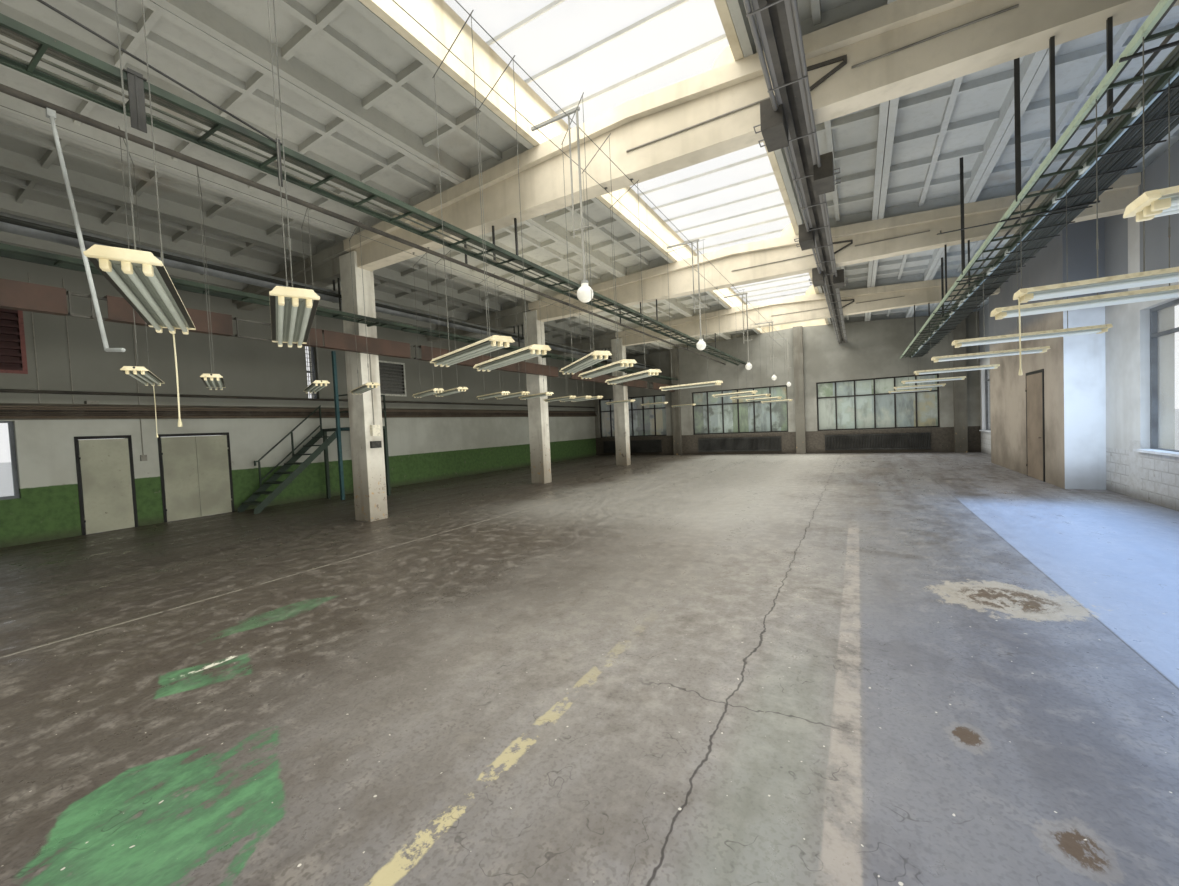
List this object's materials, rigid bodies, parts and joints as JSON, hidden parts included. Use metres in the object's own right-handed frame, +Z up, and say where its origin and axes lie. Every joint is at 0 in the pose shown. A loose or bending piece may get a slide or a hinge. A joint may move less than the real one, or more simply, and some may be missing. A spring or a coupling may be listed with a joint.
{
  "type": "single-storey factory hall",
  "caption": "Precast concrete factory hall with one side aisle, ribbed roof panels, a ridge skylight, window bands, hinged doors and overhead services.",
  "frame": {"origin": "centre of the footprint at ground level", "axes": "+Y along the hall towards the far gable, +X across it away from the aisle, +Z up"},
  "size_m": [19.2646, 30.88, 6.86],
  "materials": {
    "floor_concrete": "worn trowelled concrete",
    "column_concrete": "limewashed concrete",
    "beam_paint": "cream painted concrete",
    "ceiling_paint": "grey-white painted concrete",
    "roofing_felt": "mineral felt",
    "roof_edge_metal": "sheet edging",
    "dark_steel": "dull dark paint",
    "roof_glass": "wired glass",
    "plaster": "painted plaster",
    "frosted_glass": "frosted",
    "grey_frame_paint": "dull grey paint",
    "clear_glass": "clear",
    "sill_paint": "white paint",
    "maroon_paint": "dull maroon paint",
    "black_paint": "black paint",
    "door_paint": "grey-white paint",
    "porch_door_paint": "beige-brown paint",
    "brown_paint": "red-brown primer",
    "dark_green_paint": "dark green paint",
    "pale_green_paint": "pale green paint",
    "bracket_paint": "pale paint",
    "busbar_paint": "dull grey-brown paint",
    "galvanised": "galvanised sheet",
    "lamp_enamel": "cream enamel",
    "opal_glass": "opal",
    "cable_rubber": "old cable sheath",
    "fitting_paint": "dull grey paint",
    "cord_plastic": "off-white plastic",
    "stair_paint": "dark green-black paint"
  },
  "bodies": {
    "hall": {"floor_slab": "floor_concrete", "interior_columns": "column_concrete", "wall_columns": "column_concrete", "gable_columns": "column_concrete", "nave_beams": "beam_paint", "aisle_beams": "beam_paint", "roof_panels_left": "ceiling_paint", "roof_panels_right": "ceiling_paint", "roof_covering": "roofing_felt", "roof_edge": "roof_edge_metal", "skylight_curbs": "beam_paint", "skylight_bars": "dark_steel", "skylight_glass": "roof_glass", "far_gable_wall": "plaster", "near_gable_wall": "plaster", "left_wall_south": "plaster", "left_wall_north": "plaster", "left_wall_over_doors": "plaster", "right_wall": "plaster", "porch_walls": "plaster", "porch_wall_over_door": "plaster", "window_frames_gable": "dark_steel", "window_glass_gable": "frosted_glass", "window_frames_side": "grey_frame_paint", "window_glass_side": "clear_glass", "window_sills": "sill_paint", "wall_louvres": "maroon_paint", "door_frames": "black_paint", "row_trunking": "brown_paint", "trunking_rails": "bracket_paint", "cable_ladder_left": "dark_green_paint", "cable_ladder_right": "pale_green_paint", "service_hangers": "dark_steel", "busbar": "busbar_paint", "wall_cable_tray": "dark_steel", "air_duct": "galvanised", "pipes": "dark_green_paint", "lamp_carriers": "dark_steel", "lamp_rods": "galvanised", "strip_lamps": "lamp_enamel", "globe_lamps": "opal_glass", "stair_frame": "stair_paint", "stair_treads": "stair_paint", "stair_railing": "stair_paint", "radiators": "dark_steel", "ladder_cables": "cable_rubber", "tray_cables": "cable_rubber", "wall_fittings": "fitting_paint", "beam_conduits": "fitting_paint", "drop_arm": "bracket_paint", "pull_cord_near": "cord_plastic", "pull_cord_left": "cord_plastic", "pull_cord_right": "cord_plastic", "pull_knobs": "cord_plastic", "row_ladder": "dark_green_paint", "aisle_pipes": "dark_green_paint"},
    "side_door_leaf": {"side_door": "door_paint"},
    "double_door_left": {"double_door_left_leaf": "door_paint"},
    "double_door_right": {"double_door_right_leaf": "door_paint"},
    "porch_door_leaf": {"porch_door": "porch_door_paint"}
  },
  "joints": [
    {"name": "side_door_hinge", "type": "hinge", "parent": "hall", "child": "side_door_leaf", "pos_m": [-8.844, -6.096, 0], "axis": [0, 0, -1], "range_deg": [0, 90]},
    {"name": "double_door_left_hinge", "type": "hinge", "parent": "hall", "child": "double_door_left", "pos_m": [-8.844, -4.826, 0], "axis": [0, 0, -1], "range_deg": [0, 90]},
    {"name": "double_door_right_hinge", "type": "hinge", "parent": "hall", "child": "double_door_right", "pos_m": [-8.844, -3.574, 0], "axis": [0, 0, 1], "range_deg": [0, 90]},
    {"name": "porch_door_hinge", "type": "hinge", "parent": "hall", "child": "porch_door_leaf", "pos_m": [8.244, 6.446, 0], "axis": [0, 0, -1], "range_deg": [0, 90]}
  ]
}
